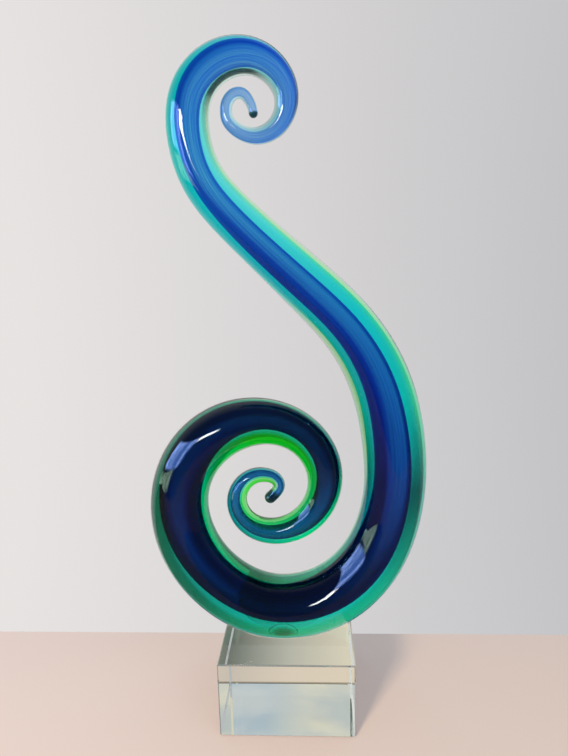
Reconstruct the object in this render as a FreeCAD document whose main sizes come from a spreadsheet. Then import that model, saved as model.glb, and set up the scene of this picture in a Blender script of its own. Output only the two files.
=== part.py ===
"""Glass wave sculpture: a tapered rod of cased glass, wound into a scroll at each end, on a glass block.

Lengths are in millimetres. The origin is the centre of the block's underside, +X is to the right,
+Y to the back and +Z up. The rod lies in the plane Y = 0, and its low end is in the large scroll.
"""

import FreeCAD, Part
import math
import os
import Sketcher

os.makedirs("parts", exist_ok=True)
doc = FreeCAD.newDocument("glass_wave_sculpture")
Vector = FreeCAD.Vector

# Driving dimensions: name, value and what it is.
SIZES = [
    ("block_width", 80.0, "glass block, side to side"),
    ("block_depth", 80.0, "glass block, front to back"),
    ("block_height", 46.6, "glass block, bottom to top"),
    ("block_bevel", 0.7, "ground bevel on the block's twelve edges"),
    ("film_thickness", 0.2, "clear adhesive between block and rod"),
    ("seat_depth", 6.4, "how much of the rod's belly is ground flat"),
    ("rod_radius", 19.5, "the rod at its thickest"),
    ("lower_reach", 76.0, "lower scroll, from its centre to the stem's axis"),
    ("lower_offset", -10.0, "lower scroll's centre, from the middle of the block"),
    ("upper_reach", 34.0, "upper scroll, from its centre to the neck's axis"),
    ("upper_offset", -13.5, "upper scroll's centre, from the middle of the block"),
    ("scroll_rise", 227.5, "from the lower scroll's centre up to the upper one's"),
    ("cut_overrun", 5.0, "how far a cutting block reaches past the glass"),
]

# Angles of the scrolls' first points and their steps, in degrees, anticlockwise from +X.
LOWER_START = 90.0
LOWER_STEP = 30.0
UPPER_START = -135.0
UPPER_STEP = -45.0

# The rod's path, from the low tip to the high one. Places are shares of a scroll's reach from its
# centre, across and up, and the last number is the rod's radius as a share of rod_radius.
LOWER_TIP_SHARES = [
    (0.013, -0.013, 0.190), (0.045, 0.018, 0.185), (0.074, 0.055, 0.185),
    (0.083, 0.099, 0.190), (0.058, 0.143, 0.205),
]
# In the scrolls: distance from the centre, then the rod's radius, one point for each step.
LOWER_TURN_SHARES = [
    (0.172, 0.223), (0.199, 0.249), (0.228, 0.277), (0.257, 0.308), (0.278, 0.338), (0.291, 0.372),
    (0.301, 0.407), (0.323, 0.441), (0.366, 0.479), (0.431, 0.520), (0.509, 0.567), (0.576, 0.626),
    (0.619, 0.713), (0.651, 0.818), (0.686, 0.877), (0.727, 0.903), (0.783, 0.944), (0.868, 0.969),
    (0.967, 1.000), (0.997, 0.992), (0.983, 0.964), (0.998, 0.944),
]
# In the neck: across as a share of lower_reach, up as a share of scroll_rise, then the radius.
NECK_SHARES = [
    (0.991, 0.156, 0.956), (0.891, 0.305, 0.928), (0.674, 0.440, 0.867),
    (0.363, 0.553, 0.810), (0.039, 0.656, 0.738), (-0.259, 0.755, 0.687),
]
UPPER_TURN_SHARES = [
    (1.313, 0.636), (1.002, 0.610), (0.811, 0.562), (0.673, 0.490), (0.599, 0.413), (0.584, 0.338),
    (0.570, 0.282), (0.524, 0.226), (0.473, 0.190),
]
UPPER_TIP_SHARES = [
    (-0.397, -0.135, 0.172), (-0.379, -0.015, 0.167), (-0.291, 0.100, 0.162), (-0.159, 0.132, 0.159),
    (-0.065, 0.074, 0.149), (-0.006, -0.015, 0.138), (0.029, -0.103, 0.131), (0.044, -0.185, 0.128),
]

# The layers' edges, as shares of the rod's radius from its axis, at even steps along the rod. The
# first list is the side that lies inside the lower scroll and left of the stem.
LAYER_SHARES = {
    "lime": (
        [0.63, 0.63, 0.64, 0.64, 0.65, 0.65, 0.65, 0.65, 0.65, 0.65, 0.65, 0.65, 0.65, 0.65, 0.66, 0.66],
        [0.64, 0.64, 0.65, 0.65, 0.65, 0.65, 0.65, 0.65, 0.65, 0.65, 0.65, 0.65, 0.65, 0.65, 0.66, 0.66],
    ),
    "teal": (
        [0.24, 0.34, 0.48, 0.43, 0.61, 0.60, 0.59, 0.61, 0.59, 0.54, 0.56, 0.63, 0.63, 0.63, 0.64, 0.64],
        [0.60, 0.61, 0.62, 0.63, 0.63, 0.62, 0.61, 0.61, 0.59, 0.59, 0.57, 0.57, 0.57, 0.45, 0.50, 0.55],
    ),
    "cobalt": (
        [0.10, 0.22, 0.33, 0.23, 0.43, 0.47, 0.45, 0.55, 0.46, 0.39, 0.39, 0.44, 0.36, 0.54, 0.61, 0.60],
        [0.50, 0.42, 0.50, 0.60, 0.53, 0.38, 0.33, 0.36, 0.35, 0.33, 0.28, 0.26, 0.33, 0.38, 0.31, 0.40],
    ),
    "heart": (
        [0.02, 0.13, 0.20, 0.10, 0.10, 0.15, 0.12, 0.15, 0.18, 0.12, 0.13, 0.15, 0.20, 0.40, 0.50, 0.45],
        [0.45, 0.38, 0.33, 0.25, 0.25, 0.20, 0.18, 0.20, 0.25, 0.26, 0.22, 0.21, 0.26, 0.32, 0.25, 0.35],
    ),
}

# How finely the curves are fitted and the skins are drawn.
FITTING_SWEEPS = 8
SECTIONS_PER_SPAN = 2
BELLY_STEPS_PER_SPAN = 12
DOME_ANGLES = [15.0, 30.0, 45.0, 60.0, 75.0]
NEIGHBOUR_SECTIONS = 16
RING_POLES = 16
CUBIC = 3
SEWING_TOLERANCE = 1e-6


def write_sheet():
    """Puts the driving dimensions in a spreadsheet, one named cell each."""
    sheet = doc.addObject("Spreadsheet::Sheet", "Sizes")
    for row, (name, value, meaning) in enumerate(SIZES, start=1):
        sheet.set(f"A{row}", meaning)
        sheet.set(f"B{row}", str(value))
        sheet.setAlias(f"B{row}", name)
    doc.recompute()
    return sheet


def smoothed(rows, index):
    """A uniform cubic B-spline's value where it passes the pole with this index."""
    if index in (0, len(rows) - 1):
        return list(rows[index])
    before, here, after = rows[index - 1], rows[index], rows[index + 1]
    return [(a + 4 * b + c) / 6 for a, b, c in zip(before, here, after)]


def poles_through(rows):
    """The poles of the uniform cubic B-spline that passes through every row."""
    poles = [list(row) for row in rows]
    for _ in range(FITTING_SWEEPS):
        passed = [smoothed(poles, index) for index in range(len(poles))]
        poles = [[p + r - c for p, r, c in zip(pole, row, on_curve)]
                 for pole, row, on_curve in zip(poles, rows, passed)]
    return poles


def along(poles, place):
    """The B-spline's value at a place, counted in poles from the first one."""
    span = min(int(place), len(poles) - 2)
    t = place - span
    first, last = poles[0], poles[-1]
    before = poles[span - 1] if span else [2 * a - b for a, b in zip(first, poles[1])]
    after = (poles[span + 2] if span + 2 < len(poles)
             else [2 * a - b for a, b in zip(last, poles[-2])])
    weights = ((1 - t) ** 3, 3 * t**3 - 6 * t**2 + 4, -3 * t**3 + 3 * t**2 + 3 * t + 1, t**3)
    four = (before, poles[span], poles[span + 1], after)
    return [sum(w * row[k] for w, row in zip(weights, four)) / 6 for k in range(len(first))]


def polar_rows(centre, reach, start, step, shares, rod_radius):
    """Points of a scroll: each share's distance from the centre, one step of angle after another."""
    rows = []
    for index, (distance_share, radius_share) in enumerate(shares):
        angle = math.radians(start + step * index)
        rows.append((centre[0] + reach * distance_share * math.cos(angle),
                     centre[1] + reach * distance_share * math.sin(angle),
                     rod_radius * radius_share))
    return rows


def rod_stations(sheet):
    """Stations along the rod: axis point, direction, radius and share of the length."""
    lower = (sheet.lower_offset, 0.0)
    upper = (sheet.upper_offset, sheet.scroll_rise)
    rows = [(lower[0] + sheet.lower_reach * across, sheet.lower_reach * up, sheet.rod_radius * r)
            for across, up, r in LOWER_TIP_SHARES]
    rows += polar_rows(lower, sheet.lower_reach, LOWER_START, LOWER_STEP, LOWER_TURN_SHARES,
                       sheet.rod_radius)
    rows += [(lower[0] + sheet.lower_reach * across, sheet.scroll_rise * up, sheet.rod_radius * r)
             for across, up, r in NECK_SHARES]
    rows += polar_rows(upper, sheet.upper_reach, UPPER_START, UPPER_STEP, UPPER_TURN_SHARES,
                       sheet.rod_radius)
    rows += [(upper[0] + sheet.upper_reach * across, upper[1] + sheet.upper_reach * up,
              sheet.rod_radius * r) for across, up, r in UPPER_TIP_SHARES]

    poles = poles_through(rows)
    count = (len(rows) - 1) * SECTIONS_PER_SPAN
    samples = [along(poles, index / SECTIONS_PER_SPAN) for index in range(count + 1)]
    fine = [along(poles, index / BELLY_STEPS_PER_SPAN)
            for index in range((len(rows) - 1) * BELLY_STEPS_PER_SPAN)]
    belly = min(z - radius for _, z, radius in fine)
    seat = sheet.block_height + sheet.film_thickness
    lift = seat - sheet.seat_depth - belly
    points = [Vector(x, 0, z + lift) for x, z, _ in samples]
    lengths = [0.0]
    for a, b in zip(points, points[1:]):
        lengths.append(lengths[-1] + (b - a).Length)

    stations = []
    for index, (point, (_, _, radius)) in enumerate(zip(points, samples)):
        before, after = points[max(index - 1, 0)], points[min(index + 1, count)]
        stations.append((point, (after - before).normalize(), radius, lengths[index] / lengths[-1]))
    return stations


def layer_sections(stations, layer):
    """Circles of one layer's outer surface, off the rod's axis as its two edges say."""
    left_poles = poles_through([[share] for share in LAYER_SHARES[layer][0]])
    right_poles = poles_through([[share] for share in LAYER_SHARES[layer][1]])
    sections = []
    for point, direction, radius, share in stations:
        place = share * (len(left_poles) - 1)
        left, right = along(left_poles, place)[0], along(right_poles, place)[0]
        rightward = Vector(direction.z, 0, -direction.x)
        centre = point + rightward * (radius * (right - left) / 2)
        sections.append((centre, direction, radius * (left + right) / 2))
    return sections


def rod_sections(stations):
    """Circles of the rod's own surface, with a round dome closing each tip."""
    arcs = [(math.sin(math.radians(angle)), math.cos(math.radians(angle))) for angle in DOME_ANGLES]
    point, direction, radius, _ = stations[0]
    low_dome = [(point - direction * (radius * rise), direction, radius * width)
                for rise, width in reversed(arcs)]
    point, direction, radius, _ = stations[-1]
    high_dome = [(point + direction * (radius * rise), direction, radius * width)
                 for rise, width in arcs]
    return low_dome + [station[:3] for station in stations] + high_dome


def skin_surface(sections):
    """A smooth surface through circles, each given by its centre, direction and radius."""
    turns = [2 * math.pi * index / RING_POLES for index in range(RING_POLES)]
    stretch = 3 / (2 + math.cos(turns[1]))
    rings = []
    for centre, direction, radius in sections:
        back = Vector(0, radius * stretch, 0)
        across = direction.cross(back)
        ring = [centre + back * math.cos(turn) + across * math.sin(turn) for turn in turns]
        rings.append([coordinate for pole in ring for coordinate in pole])
    inner = poles_through(rings)
    first = [(2 * a + b) / 3 for a, b in zip(inner[0], inner[1])]
    last = [(2 * a + b) / 3 for a, b in zip(inner[-1], inner[-2])]
    rows = [inner[0], first] + inner[1:-1] + [last, inner[-1]]
    poles = [[Vector(row[k], row[k + 1], row[k + 2]) for k in range(0, len(row), 3)] for row in rows]
    knots_along, knots_round = list(range(len(inner))), list(range(RING_POLES + 1))
    repeats_along = [CUBIC + 1] + [1] * (len(knots_along) - 2) + [CUBIC + 1]
    surface = Part.BSplineSurface()
    surface.buildFromPolesMultsKnots(
        poles, repeats_along, [1] * len(knots_round), knots_along, knots_round, False, True, CUBIC, CUBIC)
    return surface


def end_wires(surface):
    """The two round edges where a skin's surface ends."""
    first, last, _, _ = surface.bounds()
    return [Part.Wire([surface.uIso(place).toShape()]) for place in (first, last)]


def closed_solid(faces):
    """One solid from faces that close round it."""
    shell = Part.makeShell(faces)
    shell.sewShape()
    solid = Part.makeSolid(shell)
    solid.fix(SEWING_TOLERANCE, SEWING_TOLERANCE, SEWING_TOLERANCE)
    return solid


def round_solid(sections):
    """A solid bar of round section, with a flat face at each end."""
    surface = skin_surface(sections)
    return closed_solid([surface.toShape()] + [Part.Face(wire) for wire in end_wires(surface)])


def layer_solid(outer_sections, inner_sections):
    """A layer of glass between two skins, open at both ends, where the next layer shows."""
    outer, inner = skin_surface(outer_sections), skin_surface(inner_sections)
    rings = [Part.makeFace(list(pair), "Part::FaceMakerBullseye")
             for pair in zip(end_wires(outer), end_wires(inner))]
    return closed_solid([outer.toShape(), inner.toShape()] + rings)


def hollowed(solid, core):
    """A solid with a sealed hollow that a core, lying wholly inside it, fills."""
    wall = core.Shells[0].copy()
    wall.reverse()
    return Part.makeSolid(Part.Compound([solid.Shells[0], wall]))


def add_feature(name, label, shape):
    """Puts a finished shape in the document."""
    feature = doc.addObject("Part::Feature", name)
    feature.Label = label
    feature.Shape = shape
    feature.Placement = FreeCAD.Placement()
    return feature


def add_slab(name, bottom, height):
    """A slab under the rod's belly, wider than the rod, with its bottom and height as formulas."""
    slab = doc.addObject("Part::Box", name)
    slab.setExpression("Length", "2 * Sizes.lower_reach")
    slab.setExpression("Width", "2 * (Sizes.rod_radius + Sizes.cut_overrun)")
    slab.setExpression("Height", height)
    slab.setExpression("Placement.Base.x", "Sizes.lower_offset - Sizes.lower_reach")
    slab.setExpression("Placement.Base.y", "-(Sizes.rod_radius + Sizes.cut_overrun)")
    slab.setExpression("Placement.Base.z", bottom)
    return slab


def make_block():
    """The solid glass block: a rectangle padded to its height, with a bevel on every edge."""
    body = doc.addObject("PartDesign::Body", "GlassBlock")
    body.Label = "glass_block"
    outline = body.newObject("Sketcher::SketchObject", "BlockOutline")
    ground = next(plane for plane in body.Origin.OriginFeatures if plane.Role == "XY_Plane")
    outline.AttachmentSupport = (ground, [""])
    outline.MapMode = "FlatFace"
    corners = [Vector(-1, -1, 0), Vector(1, -1, 0), Vector(1, 1, 0), Vector(-1, 1, 0)]
    for corner, following in zip(corners, corners[1:] + corners[:1]):
        outline.addGeometry(Part.LineSegment(corner, following), False)
    for side in range(4):
        outline.addConstraint(Sketcher.Constraint("Coincident", side, 2, (side + 1) % 4, 1))
    for side in (0, 2):
        outline.addConstraint(Sketcher.Constraint("Horizontal", side))
        outline.addConstraint(Sketcher.Constraint("Vertical", side + 1))
    outline.addConstraint(Sketcher.Constraint("Symmetric", 0, 1, 2, 1, -1, 1))
    width = outline.addConstraint(Sketcher.Constraint("DistanceX", 0, 1, 0, 2, 2))
    depth = outline.addConstraint(Sketcher.Constraint("DistanceY", 1, 1, 1, 2, 2))
    outline.setExpression(f"Constraints[{width}]", "Sizes.block_width")
    outline.setExpression(f"Constraints[{depth}]", "Sizes.block_depth")
    pad = body.newObject("PartDesign::Pad", "BlockPad")
    pad.Profile = outline
    pad.setExpression("Length", "Sizes.block_height")
    doc.recompute()
    bevel = body.newObject("PartDesign::Chamfer", "BlockBevel")
    bevel.Base = (pad, [f"Edge{edge}" for edge in range(1, len(pad.Shape.Edges) + 1)])
    bevel.setExpression("Size", "Sizes.block_bevel")
    doc.recompute()
    return body


def make_casing(stations, lime_sections):
    """The rod's clear outer glass: domed tips, a hollow for the coloured glass and a ground seat."""
    rod = add_feature("RodSkin", "rod_skin", round_solid(rod_sections(stations)))
    ground_off = add_slab(
        "GroundOff", "Sizes.block_height + Sizes.film_thickness - Sizes.seat_depth - Sizes.cut_overrun",
        "Sizes.seat_depth + Sizes.cut_overrun")
    ground_rod = doc.addObject("Part::Cut", "GroundRod")
    ground_rod.Base = rod
    ground_rod.Tool = ground_off
    doc.recompute()
    core = round_solid(lime_sections)
    casing = add_feature("ClearCasing", "clear_casing", hollowed(ground_rod.Shape, core))
    return rod, casing


def make_film(rod):
    """The clear adhesive: the rod's own outline between the block and the ground seat."""
    gap = add_slab("GlueGap", "Sizes.block_height", "Sizes.film_thickness")
    film = doc.addObject("Part::Common", "AdhesiveFilm")
    film.Label = "adhesive_film"
    film.Base = rod
    film.Tool = gap
    doc.recompute()
    return film


def print_checks(stations):
    """Prints how tightly the rod bends and how near its turns come to each other."""
    bends = []
    for (a, _, _, _), (b, _, radius, _), (c, _, _, _) in zip(stations, stations[1:], stations[2:]):
        area = ((b - a).cross(c - a)).Length / 2
        bends.append((a - b).Length * (b - c).Length * (c - a).Length / (4 * area) / radius)
    print("least bend radius over rod radius:", round(min(bends), 2), "at", bends.index(min(bends)) + 1)
    gaps = [((a - c).Length - radius - other, i, j)
            for i, (a, _, radius, _) in enumerate(stations)
            for j, (c, _, other, _) in enumerate(stations)
            if j > i and (a - c).Length > 0 and j - i > NEIGHBOUR_SECTIONS]
    print("least gap between turns:", [round(value, 2) for value in min(gaps)])
    for layer, within in (("teal", "lime"), ("cobalt", "teal"), ("heart", "cobalt")):
        walls = [outer - inner for side in (0, 1)
                 for outer, inner in zip(LAYER_SHARES[within][side], LAYER_SHARES[layer][side])]
        print("least wall of", within, "round", layer, "as a share:", round(min(walls), 3))


def check_document(pieces):
    """Stops if any object failed or any piece isn't one valid solid."""
    for item in doc.Objects:
        if {"Invalid", "Error"} & set(item.State):
            raise RuntimeError(f"{item.Name} failed: {item.State}")
    for piece in pieces:
        shape = piece.Shape
        if shape.isNull() or not shape.isValid() or len(shape.Solids) != 1:
            raise RuntimeError(f"{piece.Label} isn't one valid solid")


def main():
    sheet = write_sheet()
    stations = rod_stations(sheet)
    sections = {layer: layer_sections(stations, layer) for layer in LAYER_SHARES}
    rod, casing = make_casing(stations, sections["lime"])
    pieces = [make_block(), make_film(rod), casing]
    for layer, inner in (("lime", "teal"), ("teal", "cobalt"), ("cobalt", "heart")):
        shape = layer_solid(sections[layer], sections[inner])
        pieces.append(add_feature(layer.capitalize() + "Layer", layer + "_layer", shape))
    pieces.append(add_feature("Heart", "heart", round_solid(sections["heart"])))
    doc.recompute()
    print_checks(stations)
    check_document(pieces)
    for piece in pieces:
        piece.Shape.exportStep(f"parts/{piece.Label}.step")
        print(f"{piece.Label}: {piece.Shape.Volume:.0f} mm3")


main()
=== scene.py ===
# %% [markdown]
# # A wave of cased glass
# The ornament is one long rod of glass, wound into a scroll at each end and glued to a clear block. The
# rod is made the way a glassmaker gathers it: a pale heart, a cobalt core, a turquoise layer, a lime skin
# and a thick clear casing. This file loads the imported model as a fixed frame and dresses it.

# %% Load the frame
import math

import bmesh
import bpy
import numpy as np
from mathutils import Matrix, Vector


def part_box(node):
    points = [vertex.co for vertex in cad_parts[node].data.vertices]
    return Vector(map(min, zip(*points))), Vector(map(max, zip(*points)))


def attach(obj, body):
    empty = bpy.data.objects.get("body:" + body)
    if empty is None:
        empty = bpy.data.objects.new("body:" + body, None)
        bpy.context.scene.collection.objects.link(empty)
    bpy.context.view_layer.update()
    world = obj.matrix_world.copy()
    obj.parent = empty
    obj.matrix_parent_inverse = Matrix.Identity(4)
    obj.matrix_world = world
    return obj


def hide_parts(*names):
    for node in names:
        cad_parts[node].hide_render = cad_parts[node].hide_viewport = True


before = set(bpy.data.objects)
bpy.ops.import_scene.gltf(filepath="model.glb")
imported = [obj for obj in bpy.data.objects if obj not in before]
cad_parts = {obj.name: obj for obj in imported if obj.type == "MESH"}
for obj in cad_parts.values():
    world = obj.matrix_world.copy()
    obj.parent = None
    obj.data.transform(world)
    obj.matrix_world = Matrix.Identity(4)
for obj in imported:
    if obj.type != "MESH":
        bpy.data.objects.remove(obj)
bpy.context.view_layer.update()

print("nodes:", sorted(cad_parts))

# %% [markdown]
# ## The rod's path
# The path is a smooth curve through a few given places, like the bends a maker gives a hot rod.
# In a scroll each place is a share of the scroll's reach, at even steps of angle, so a turn that grows
# evenly is a list of growing shares. Lengths are in metres, and heights follow from the block and seat.

# %% Sizes and places
MM = 0.001
ROD_RADIUS = 19.5 * MM
BLOCK_LOW, BLOCK_HIGH = (np.array(corner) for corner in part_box("glass_block"))
SEAT_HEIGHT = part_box("adhesive_film")[1][2]
SEAT_DEPTH = 6.4 * MM
LOWER_REACH, LOWER_OFFSET = 76.0 * MM, -10.0 * MM
UPPER_REACH, UPPER_OFFSET = 34.0 * MM, -13.5 * MM
SCROLL_RISE = 227.5 * MM
LOWER_START, LOWER_STEP = 90.0, 30.0
UPPER_START, UPPER_STEP = -135.0, -45.0

LOWER_TIP_SHARES = np.array([
    (0.013, -0.013, 0.190), (0.045, 0.018, 0.185), (0.074, 0.055, 0.185),
    (0.083, 0.099, 0.190), (0.058, 0.143, 0.205),
])
LOWER_TURN_SHARES = np.array([
    (0.172, 0.223), (0.199, 0.249), (0.228, 0.277), (0.257, 0.308), (0.278, 0.338), (0.291, 0.372),
    (0.301, 0.407), (0.323, 0.441), (0.366, 0.479), (0.431, 0.520), (0.509, 0.567), (0.576, 0.626),
    (0.619, 0.713), (0.651, 0.818), (0.686, 0.877), (0.727, 0.903), (0.783, 0.944), (0.868, 0.969),
    (0.967, 1.000), (0.997, 0.992), (0.983, 0.964), (0.998, 0.944),
])
NECK_SHARES = np.array([
    (0.991, 0.156, 0.956), (0.891, 0.305, 0.928), (0.674, 0.440, 0.867),
    (0.363, 0.553, 0.810), (0.039, 0.656, 0.738), (-0.259, 0.755, 0.687),
])
UPPER_TURN_SHARES = np.array([
    (1.313, 0.636), (1.002, 0.610), (0.811, 0.562), (0.673, 0.490), (0.599, 0.413), (0.584, 0.338),
    (0.570, 0.282), (0.524, 0.226), (0.473, 0.190),
])
UPPER_TIP_SHARES = np.array([
    (-0.397, -0.135, 0.172), (-0.379, -0.015, 0.167), (-0.291, 0.100, 0.162), (-0.159, 0.132, 0.159),
    (-0.065, 0.074, 0.149), (-0.006, -0.015, 0.138), (0.029, -0.103, 0.131), (0.044, -0.185, 0.128),
])

# %% [markdown]
# ## A smooth curve through the places
# A uniform cubic B-spline is the smoothest simple curve, but it cuts inside its poles. A few sweeps push
# each pole outwards by what the curve misses there, until the curve passes through every place. Whole
# rows go through together, so the radius swells and narrows as smoothly as the path bends.

# %% Spline
FITTING_SWEEPS = 8


def poles_through(rows):
    """The poles whose curve, (pole before + 4 x pole + pole after) / 6 at each pole, meets every row."""
    poles = rows.copy()
    for _ in range(FITTING_SWEEPS):
        passed = poles.copy()
        passed[1:-1] = (poles[:-2] + 4 * poles[1:-1] + poles[2:]) / 6
        poles = poles + rows - passed
    return poles


def along(poles, places):
    """The spline's rows at places counted in poles: four neighbours weighted by cubics of the rest."""
    ends = np.vstack([2 * poles[:1] - poles[1:2], poles, 2 * poles[-1:] - poles[-2:-1]])
    span = np.minimum(places.astype(int), len(poles) - 2)
    t = (places - span)[:, None]
    weights = [(1 - t) ** 3, 3 * t**3 - 6 * t**2 + 4, -3 * t**3 + 3 * t**2 + 3 * t + 1, t**3]
    return sum(weight * ends[span + k] for k, weight in enumerate(weights)) / 6


def scroll_rows(centre, reach, start, step, shares):
    """Places of a scroll: centre + reach x share, turned by one step of angle after another."""
    angle = np.radians(start + step * np.arange(len(shares)))
    distance = reach * shares[:, 0]
    return np.column_stack([centre[0] + distance * np.cos(angle), centre[1] + distance * np.sin(angle),
                            ROD_RADIUS * shares[:, 1]])


# %% The path from the low tip to the high one
lower_scale = np.array([LOWER_REACH, LOWER_REACH, ROD_RADIUS])
upper_scale = np.array([UPPER_REACH, UPPER_REACH, ROD_RADIUS])
neck_scale = np.array([LOWER_REACH, SCROLL_RISE, ROD_RADIUS])
lower_centre = np.array([LOWER_OFFSET, 0.0, 0.0])
upper_centre = np.array([UPPER_OFFSET, SCROLL_RISE, 0.0])
path_poles = poles_through(np.vstack([
    lower_centre + lower_scale * LOWER_TIP_SHARES,
    scroll_rows(lower_centre, LOWER_REACH, LOWER_START, LOWER_STEP, LOWER_TURN_SHARES),
    lower_centre + neck_scale * NECK_SHARES,
    scroll_rows(upper_centre, UPPER_REACH, UPPER_START, UPPER_STEP, UPPER_TURN_SHARES),
    upper_centre + upper_scale * UPPER_TIP_SHARES,
]))

STEPS_PER_SPAN = 8
places = np.arange((len(path_poles) - 1) * STEPS_PER_SPAN + 1) / STEPS_PER_SPAN
samples = along(path_poles, places)
lift = SEAT_HEIGHT - SEAT_DEPTH - (samples[:, 1] - samples[:, 2]).min()
axis_points = np.column_stack([samples[:, 0], np.zeros(len(samples)), samples[:, 1] + lift])
axis_radius = samples[:, 2]
steps = np.linalg.norm(np.diff(axis_points, axis=0), axis=1)
axis_share = np.concatenate([[0.0], np.cumsum(steps)]) / steps.sum()
tangents = np.gradient(axis_points, axis=0)
tangents /= np.linalg.norm(tangents, axis=1)[:, None]
print("rod length in mm:", round(steps.sum() / MM, 1), "sections:", len(samples))

# %% [markdown]
# ## Skins round the path
# Every layer is a round skin carried along the path. Its circle needn't be centred: when a gather of
# glass is marvered more on one side, the layer is thicker there. So each layer has two lists of shares,
# one for each edge seen from the front, and its circle spans from one edge to the other. Each skin ends
# in round domes, as the fire-polished tips do.

# %% Centres and radii of a layer
RIGHTWARD = np.column_stack([tangents[:, 2], np.zeros(len(tangents)), -tangents[:, 0]])


def layer_rows(left_shares, right_shares, inset=0.0):
    """Centres and radii of a layer: half the sum of its edges, centred at half their difference."""
    count = len(left_shares) - 1
    left = along(poles_through(np.array(left_shares)[:, None]), axis_share * count)[:, 0]
    right = along(poles_through(np.array(right_shares)[:, None]), axis_share * count)[:, 0]
    centres = axis_points + RIGHTWARD * (axis_radius * (right - left) / 2)[:, None]
    return centres, axis_radius * (left + right) / 2 - inset


# %% Rings of a skin
AROUND = 80
DOME_STEPS = 8
BACK = np.array([0.0, 1.0, 0.0])


def skin_grid(centres, radii):
    """Rings, each centre + radius x (back x cos + rightward x sin), closed by quarter-circle domes."""
    rise = np.linspace(0, math.pi / 2, DOME_STEPS + 1)[1:-1]
    low = rise[::-1]
    ring_centres = np.vstack([
        centres[0] - tangents[0] * (radii[0] * np.sin(low))[:, None], centres,
        centres[-1] + tangents[-1] * (radii[-1] * np.sin(rise))[:, None]])
    ring_radii = np.concatenate([radii[0] * np.cos(low), radii, radii[-1] * np.cos(rise)])
    across = np.vstack([np.repeat(RIGHTWARD[:1], len(low), 0), RIGHTWARD,
                        np.repeat(RIGHTWARD[-1:], len(rise), 0)])
    share = np.concatenate([np.zeros(len(low)), axis_share, np.ones(len(rise))])
    turn = np.linspace(0, 2 * math.pi, AROUND, endpoint=False)
    circle = across[:, None] * np.sin(turn)[None, :, None] + BACK * np.cos(turn)[None, :, None]
    grid = ring_centres[:, None] + circle * ring_radii[:, None, None]
    poles = np.array([centres[0] - tangents[0] * radii[0], centres[-1] + tangents[-1] * radii[-1]])
    return grid, poles, share


# %% [markdown]
# A skin could be spun up face by face, but numpy makes all its faces at once: a point's number is its
# ring's number times the points in a ring, plus its place in the ring. Each mesh also keeps three facts
# of every point, which the finishes read later: how far along the rod it lies, how far across, and
# whether it belongs to the layer's outer skin.

# %% Faces of a skin
def skin_faces(rows, around, first=0):
    """Quads between neighbouring rings, and a fan of triangles to the pole at each end."""
    r, c = np.meshgrid(np.arange(rows - 1), np.arange(around), indexing="ij")
    n = (c + 1) % around
    quads = np.stack([r * around + c, r * around + n, (r + 1) * around + n, (r + 1) * around + c], -1)
    ring = np.arange(around)
    after = (ring + 1) % around
    low_pole, high_pole = rows * around, rows * around + 1
    last = (rows - 1) * around
    low_fan = np.stack([np.full(around, low_pole), after, ring], -1)
    high_fan = np.stack([np.full(around, high_pole), last + ring, last + after], -1)
    parts = (quads.reshape(-1, 4), low_fan, high_fan)
    return [face[::-1] for part in parts for face in (part + first).tolist()]


# %% Meshes from skins
def add_piece(name, mesh):
    """Puts a mesh in the scene as a piece of its own, at the origin."""
    piece = bpy.data.objects.new(name, mesh)
    bpy.context.scene.collection.objects.link(piece)
    return piece


def make_mesh(name, shells):
    """One mesh from several skins, with each point's facts. A bore is turned to face inwards."""
    vertices, faces = [], []
    facts = {"along_rod": [], "across_rod": [], "outer_skin": []}
    first = 0
    for (grid, poles, share), bore in shells:
        rows, around = grid.shape[:2]
        part = skin_faces(rows, around, first)
        faces += [face[::-1] for face in part] if bore else part
        vertices += [grid.reshape(-1, 3), poles]
        first += rows * around + 2
        turn = np.linspace(0, 2 * math.pi, around, endpoint=False)
        facts["along_rod"] += [np.repeat(share, around), [0.0, 1.0]]
        facts["across_rod"] += [np.tile(np.sin(turn), rows), [0.0, 0.0]]
        facts["outer_skin"] += [np.full(rows * around + 2, 0.0 if bore else 1.0)]
    mesh = bpy.data.meshes.new(name)
    mesh.from_pydata(np.vstack(vertices).tolist(), [], faces)
    mesh.polygons.foreach_set("use_smooth", np.ones(len(mesh.polygons), dtype=bool))
    for label, values in facts.items():
        attribute = mesh.attributes.new(label, "FLOAT", "POINT")
        attribute.data.foreach_set("value", np.concatenate(values).astype(np.float32))
    mesh.update()
    return add_piece(name, mesh)


def signed_volume(piece):
    """The volume a closed mesh holds, negative if its faces point inwards."""
    bm = bmesh.new()
    bm.from_mesh(piece.data)
    volume = bm.calc_volume(signed=True)
    bm.free()
    return volume


# %% [markdown]
# ## The coloured layers
# The shares below are read across the rod: 0 is its axis and 1 its surface. The cobalt core lies off the
# axis and the turquoise is thicker on the stem's left side, which is what gives the rod its bands. A
# layer is a hollow skin: an outer one, and a bore that the next layer fills. A hair of room between
# neighbours keeps the renderer from meeting two surfaces at the same place.

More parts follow.
